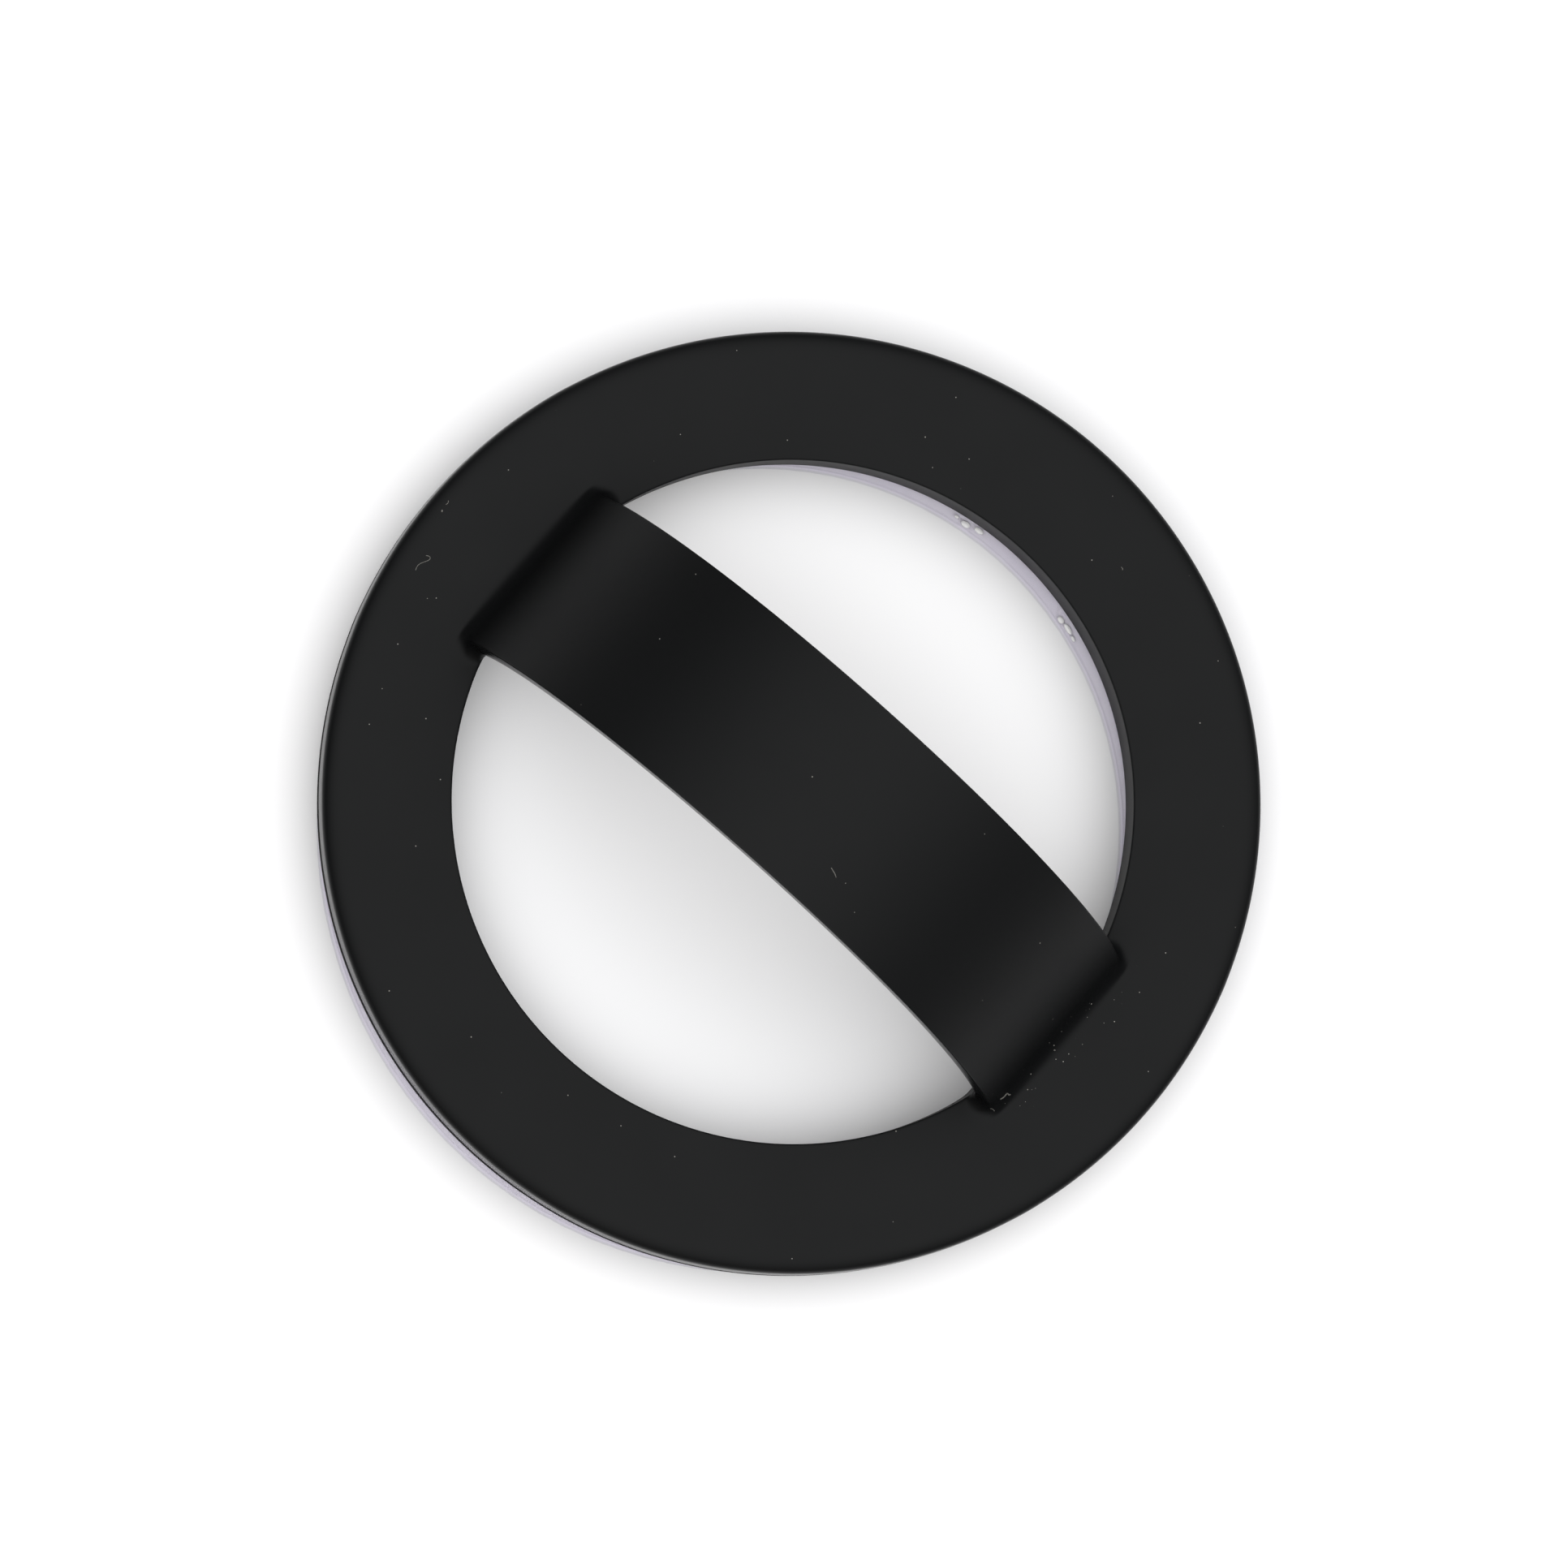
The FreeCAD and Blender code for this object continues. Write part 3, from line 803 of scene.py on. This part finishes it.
    def crease_strap(self, obj: bpy.types.Object) -> None:
        """Keeps the strap's long edges crisp, with a small round.

        Args:
            obj: The whole cage, in edit mode.
        """
        for depth, side in ((0, self.strap_side), (self.strap_thickness, self.strap_side + self.draft)):
            reach = self.arch_radius - depth
            select(
                obj, lambda p: p.z > self.face + self.crease_from and abs(abs(p.y) - side) < NEAR
                and abs(math.hypot(p.x, p.z - self.arch_centre) - reach) < NEAR,
            )
            bpy.ops.transform.edge_crease(value=self.edge_crease)

    def crease_channel(self, obj: bpy.types.Object) -> None:
        """Keeps the edges of the magnet channel and the cover's rebate sharp.

        Args:
            obj: The whole cage, in edit mode.
        """
        steps = ((self.rebate, self.base), (self.rebate, self.rebate_top), (self.channel, self.rebate_top),
                 (self.channel, self.channel_top))
        for radii, level in steps:
            for radius in radii:
                select(obj, lambda p: abs(math.hypot(p.x, p.y) - radius) < NEAR and abs(p.z - level) < NEAR)
                bpy.ops.transform.edge_crease(value=1.0)

    def build(self) -> bpy.types.Object:
        """Models the soft body.

        Returns:
            The finished mesh object.
        """
        obj = start_outline("soft_body", self.section())
        self.turn_ring()
        self.raise_strap(obj)
        self.mirror(obj)
        self.crease_strap(obj)
        self.crease_channel(obj)
        bpy.ops.object.mode_set(mode="OBJECT")
        apply(obj, "SUBSURF", levels=SUBDIVISIONS, render_levels=SUBDIVISIONS)
        bpy.ops.object.shade_smooth_by_angle(angle=self.sharp_angle)
        finish_piece(obj, SatinSilicone().material(), Slot.SILICONE, "grip_body")
        return obj


def seat(low: Vector, high: Vector) -> tuple[float, float, float]:
    """Gives the place of a ring's axis and its outer radius, from the lowest and highest corners of its box."""
    return (low.x + high.x) / 2, (low.y + high.y) / 2, (high.x - low.x) / 2


@dataclass
class StickyRing:
    """The tacky ring under the grip, the film that covers it and the air between them."""

    inner: float = 22.2 * MM
    gel_inset: float = 0.22 * MM
    soft_edge: float = 0.08 * MM
    film_edge: float = 0.02 * MM
    edge_row: float = 0.9 * MM
    steps: int = 96
    sharp_angle: float = math.radians(30.0)
    wander: float = 0.14 * MM
    wander_length: float = 4.0 * MM
    # Radii about the body's axis between which the tacky ring is painted near black, as painted shade under the
    # body.
    painted_shade_under_body: tuple[float, float] = (21.15 * MM, 28.9 * MM)
    # The bubbles' share of the tacky ring's thickness, and how uneven a bubble of one millimetre is.
    bubble_depth: float = 0.35
    bubble_rough: float = 0.06 * MM
    # Angle about the ring's axis in degrees, distance from it, length along the ring and width, for each bubble.
    bubbles: tuple[tuple[float, float, float, float], ...] = (
        (97.6, 22.70 * MM, 0.62 * MM, 0.40 * MM), (95.3, 22.86 * MM, 0.66 * MM, 0.34 * MM),
        (99.4, 22.80 * MM, 0.30 * MM, 0.22 * MM), (76.4, 22.66 * MM, 0.50 * MM, 0.36 * MM),
        (74.6, 22.72 * MM, 0.80 * MM, 0.32 * MM), (72.9, 22.66 * MM, 0.40 * MM, 0.22 * MM),
        (118.0, 23.60 * MM, 0.40 * MM, 0.35 * MM), (31.0, 24.90 * MM, 0.60 * MM, 0.40 * MM),
        (203.0, 26.30 * MM, 0.50 * MM, 0.30 * MM), (288.0, 25.10 * MM, 0.45 * MM, 0.45 * MM),
    )

    def turn(self, name: str, node: str, inset: float, edge: float) -> bpy.types.Object:
        """Spins a flat section with soft edges into a ring, in its CAD node's place.

        Args:
            name: The new object's name.
            node: The CAD node that gives centre, outer radius and levels.
            inset: How far the ring stays inside the node's radii.
            edge: How much the section's edges are rounded.

        Returns:
            The ring, in object mode.
        """
        low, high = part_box(node)
        x, y, reach = seat(low, high)
        inner, outer = self.inner + inset, reach - inset
        rows = [inner + edge, inner + self.edge_row, (inner + outer) / 2, outer - self.edge_row, outer - edge]
        over = [(radius, high.z) for radius in rows]
        under = [(radius, low.z) for radius in reversed(rows)]
        obj = start_outline(name, [
            (inner, low.z + edge), (inner, high.z - edge), *over,
            (outer, high.z - edge), (outer, low.z + edge), *under,
        ])
        bpy.ops.mesh.spin(steps=self.steps, angle=math.tau, center=(0, 0, 0), axis=(0, 0, -1))
        bpy.ops.mesh.select_all(action="SELECT")
        bpy.ops.mesh.remove_doubles(threshold=0.1 * NEAR)
        bpy.ops.transform.translate(value=(x, y, 0))
        bpy.ops.mesh.normals_make_consistent(inside=False)
        bpy.ops.object.mode_set(mode="OBJECT")
        return obj

    def build_film(self) -> None:
        """Models the release film, flat and evenly cut."""
        low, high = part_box("release_liner")
        x, y, outer = seat(low, high)
        obj = self.turn("release_film", "release_liner", 0.0, self.film_edge)
        bpy.ops.object.shade_smooth_by_angle(angle=self.sharp_angle)
        finish_piece(obj, RELEASE_FILM.material(x, y, self.inner, outer), Slot.FILM, "release_liner")

    def build_gel(self) -> None:
        """Models the tacky ring, whose edges wander a little."""
        low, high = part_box("adhesive_ring")
        x, y, outer = seat(low, high)
        obj = self.turn("tacky_ring", "adhesive_ring", self.gel_inset, self.soft_edge)
        cloud = bpy.data.textures.new("wander", "CLOUDS")
        cloud.noise_scale = self.wander_length
        for axis in ("X", "Y"):
            apply(
                obj, "DISPLACE", texture=cloud, direction=axis, strength=self.wander, mid_level=0.5,
                texture_coords="LOCAL",
            )
        bpy.ops.object.shade_smooth_by_angle(angle=self.sharp_angle)
        finish = TACKY_GEL.material(x, y, self.inner + self.gel_inset, outer - self.gel_inset, self.painted_shade_under_body)
        finish_piece(obj, finish, Slot.GEL, "adhesive_ring")

    def build_bubbles(self) -> None:
        """Models the air bubbles as flat uneven lenses inside the tacky ring."""
        low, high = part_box("adhesive_ring")
        middle = (low + high) / 2
        thick = self.bubble_depth * (high.z - low.z)
        made = []
        for seed, (degrees, radius, length, width) in enumerate(self.bubbles):
            angle = math.radians(degrees)
            place = (middle.x + radius * math.cos(angle), middle.y + radius * math.sin(angle), middle.z)
            bpy.ops.object.select_all(action="DESELECT")
            bpy.ops.mesh.primitive_ico_sphere_add(subdivisions=3, radius=0.5 * MM)
            obj = bpy.context.object
            bpy.ops.object.mode_set(mode="EDIT")
            bpy.ops.mesh.select_all(action="SELECT")
            bpy.ops.transform.vertex_random(offset=self.bubble_rough, uniform=0.0, normal=0.5, seed=seed)
            bpy.ops.mesh.vertices_smooth(factor=0.5, repeat=1)
            bpy.ops.transform.resize(value=(width / MM, length / MM, thick / MM), center_override=(0, 0, 0))
            bpy.ops.transform.rotate(value=-angle, orient_axis="Z", center_override=(0, 0, 0))
            bpy.ops.transform.translate(value=place)
            bpy.ops.object.mode_set(mode="OBJECT")
            made.append(obj)
        finish_piece(join("air_bubbles", made), TrappedAir().material(), Slot.GEL)

    def build(self) -> None:
        """Models film, tacky ring and bubbles."""
        self.build_film()
        self.build_gel()
        self.build_bubbles()


@dataclass
class Lint:
    """The few fibres that lie on the silicone."""

    # The level from which points are dropped onto the silicone.
    above: float = 40.0 * MM
    # Share of its thickness by which a fibre's middle lies above the silicone.
    lift: float = 0.3
    # Thickness of each fibre, and the points of its run as seen from above, all in millimetres.
    fibres: tuple[tuple[float, tuple[tuple[float, float], ...]], ...] = (
        (0.05, ((-26.71, -4.89), (-26.80, -4.70), (-26.81, -4.51), (-26.75, -4.33), (-26.66, -4.16), (-26.53, -3.93),
                (-26.50, -3.77), (-26.58, -3.68), (-26.71, -3.70), (-26.84, -3.79))),
        (0.05, ((-28.05, -0.35), (-27.95, -0.45), (-28.00, -0.63))),
        (0.09, ((-27.95, -1.03), (-27.88, -1.14))),
        (0.08, ((21.54, -5.25), (21.62, -5.06), (21.62, -4.87), (21.60, -4.71), (21.69, -4.66), (21.78, -4.71),
                (21.83, -4.59))),
        (0.04, ((21.50, -6.06), (21.62, -5.97), (21.79, -5.99))),
        (0.06, ((5.50, 24.29), (5.65, 24.28), (5.69, 24.20))),
        (0.06, ((3.66, -3.29), (3.94, -3.36), (4.12, -3.42), (4.28, -3.52))),
    )

    def lay(self, body: bpy.types.Object, x: float, y: float, thickness: float) -> Vector:
        """Drops a point onto the body.

        Args:
            body: The soft body.
            x: The point's place as seen from above.
            y: The point's place as seen from above.
            thickness: The fibre's thickness.

        Returns:
            The middle of a fibre that lies on the body there.
        """
        _, place, normal, _ = body.ray_cast(Vector((x, y, self.above)), Vector((0, 0, -1)))
        return place + self.lift * thickness * normal

    def build(self, body: bpy.types.Object) -> None:
        """Models the fibres as thin round strands.

        Args:
            body: The soft body that they lie on.
        """
        bpy.context.view_layer.update()
        made = []
        for size, points in self.fibres:
            thickness = size * MM
            obj = trace("fibre", [self.lay(body, x * MM, y * MM, thickness) for x, y in points])
            bpy.ops.object.mode_set(mode="OBJECT")
            apply(obj, "SUBSURF", levels=SUBDIVISIONS, render_levels=SUBDIVISIONS)
            bpy.ops.object.convert(target="CURVE")
            strand = bpy.context.object
            strand.data.bevel_depth = thickness / 2
            strand.data.bevel_resolution = 2
            strand.data.use_fill_caps = True
            bpy.ops.object.convert(target="MESH")
            made.append(bpy.context.object)
        finish_piece(join("lint", made), COTTON_LINT.material(), Slot.SILICONE)


@dataclass
class MagnetRing:
    """The closed ring of magnets under its steel ring and over the cover, which keep their CAD shapes."""

    count: int = 18

    def dress(self, finish: bpy.types.Material, *nodes: str) -> None:
        """Gives CAD nodes a finish.

        Args:
            finish: The material.
            *nodes: The nodes' names.
        """
        for node in nodes:
            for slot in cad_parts[node].material_slots:
                slot.material = finish
        log.info("%s: on %s", finish.name, ", ".join(nodes))

    def build(self) -> None:
        """Dresses cover, steel ring and magnets."""
        self.dress(MOULDED_ABS.material(), "base_cover")
        self.dress(ROLLED_STEEL.material(), "shunt_ring")
        self.dress(BRIGHT_NICKEL.material(), *(f"magnet_{number + 1:02d}" for number in range(self.count)))


@dataclass
class Stage:
    """The pale floor, the soft lights and the camera of the photograph."""

    floor_side: float = 6.0
    floor_pale: str = "f2f2f3"
    # The grey that the far floor is painted, as painted shade.
    floor_grey: str = "c4c4c6"
    pale_radius: float = 64 * MM
    grey_radius: float = 155 * MM
    distance: float = 1.0
    tilt: float = math.radians(6.32)
    azimuth: float = math.radians(250.3)
    roll: float = math.radians(41.83)
    focal_pixels: float = 20107.0
    # Millimetres, as a Blender camera counts them.
    sensor: float = 36.0
    target: tuple[float, float, float] = (0.0, 0.0, 5.0 * MM)
    # How far the target lies from the picture's middle.
    shift_right: float = 0.585 * MM
    shift_down: float = 1.075 * MM
    dome_low: float = 0.05
    dome_top: float = 2.6
    dome_from: float = 0.43
    dome_to: float = 1.0
    dome_warm: str = "fff1e2"
    warm_end: float = 0.25
    dome_lean: float = math.radians(6.5)
    dome_azimuth: float = math.radians(42.0)
    fill: float = 0.36
    fill_from: float = 0.6
    fill_lean: float = math.radians(58.0)
    fill_azimuth: float = math.radians(285.0)

    def lay_floor(self) -> None:
        """Lays the pale floor just below the film."""
        bpy.ops.object.select_all(action="DESELECT")
        bpy.ops.mesh.primitive_plane_add(size=self.floor_side, location=(0, 0, -NEAR))
        floor = bpy.context.object
        floor.name = "floor"
        # Matt white card, which spreads the light evenly. Further out its colour is painted grey: painted shade for
        # where the light falls off.
        material, tree = new_material("pale_floor")
        fade = add_node(
            tree, "ShaderNodeMapRange", {"From Min": self.pale_radius, "From Max": self.grey_radius},
            Value=axis_distance(tree, 0, 0),
        )
        colour = add_node(
            tree, "ShaderNodeValToRGB", {"stops": [(0.0, linear(self.floor_pale)), (1.0, linear(self.floor_grey))]},
            Fac=fade.outputs["Result"],
        )
        shader = add_node(tree, "ShaderNodeBsdfPrincipled", {"Roughness": 0.7}, Base_Color=colour.outputs["Color"])
        add_node(tree, "ShaderNodeOutputMaterial", Surface=shader.outputs["BSDF"])
        floor.data.materials.append(material)

    def set_camera(self) -> None:
        """Puts the camera where the photograph was taken from."""
        back = direction(self.tilt, self.azimuth)
        right = Vector((math.cos(self.roll), math.sin(self.roll), 0.0))
        right = (right - right.dot(back) * back).normalized()
        up = back.cross(right)
        data = bpy.data.cameras.new("camera")
        data.sensor_width = self.sensor
        data.lens = self.focal_pixels / IMAGE_SIDE * self.sensor
        data.clip_end = 10.0
        camera = bpy.data.objects.new("camera", data)
        bpy.context.scene.collection.objects.link(camera)
        place = Vector(self.target) + self.distance * back - self.shift_right * right + self.shift_down * up
        camera.matrix_world = Matrix((
            (right.x, up.x, back.x, place.x), (right.y, up.y, back.y, place.y), (right.z, up.z, back.z, place.z),
            (0, 0, 0, 1),
        ))
        bpy.context.scene.camera = camera

    def light(self) -> None:
        """Lights the stage with a soft dome that is brightest near its top, and with a weak low fill."""
        scene = bpy.context.scene
        scene.view_settings.view_transform = "Standard"
        world = bpy.data.worlds.new("studio_dome")
        world.use_nodes = True
        tree = world.node_tree
        tree.nodes.clear()
        place = add_node(tree, "ShaderNodeTexCoord").outputs["Generated"]
        upwards, sideways = (
            add_node(
                tree, "ShaderNodeVectorMath", {"operation": "DOT_PRODUCT", 0: place, 1: direction(lean, azimuth)}
            ).outputs["Value"]
            for lean, azimuth in ((self.dome_lean, self.dome_azimuth), (self.fill_lean, self.fill_azimuth))
        )
        span = {"From Min": self.dome_from, "From Max": self.dome_to}
        glow = add_node(
            tree, "ShaderNodeMapRange",
            {"interpolation_type": "SMOOTHSTEP", "To Min": self.dome_low, "To Max": self.dome_top, **span},
            Value=upwards,
        )
        fill = add_node(
            tree, "ShaderNodeMapRange",
            {"interpolation_type": "SMOOTHSTEP", "From Min": self.fill_from, "To Max": self.fill}, Value=sideways,
        )
        total = add_node(
            tree, "ShaderNodeMath", {"operation": "ADD", 0: glow.outputs["Result"], 1: fill.outputs["Result"]}
        )
        share = add_node(tree, "ShaderNodeMapRange", span, Value=upwards)
        tint = add_node(
            tree, "ShaderNodeValToRGB", {"stops": [(0.0, linear(self.dome_warm)), (self.warm_end, grey(1.0))]},
            Fac=share.outputs["Result"],
        )
        sky = add_node(tree, "ShaderNodeBackground", Color=tint.outputs["Color"], Strength=total.outputs["Value"])
        add_node(tree, "ShaderNodeOutputWorld", Surface=sky.outputs["Background"])
        scene.world = world

    def build(self) -> None:
        """Sets up floor, lights and camera."""
        self.lay_floor()
        self.light()
        self.set_camera()


def main() -> None:
    """Builds every piece, the stage, the lights and the camera."""
    logging.basicConfig(level=logging.INFO, format="%(name)s: %(message)s")
    Lint().build(SoftBody().build())
    StickyRing().build()
    MagnetRing().build()
    Stage().build()


if __name__ == "__main__":
    main()
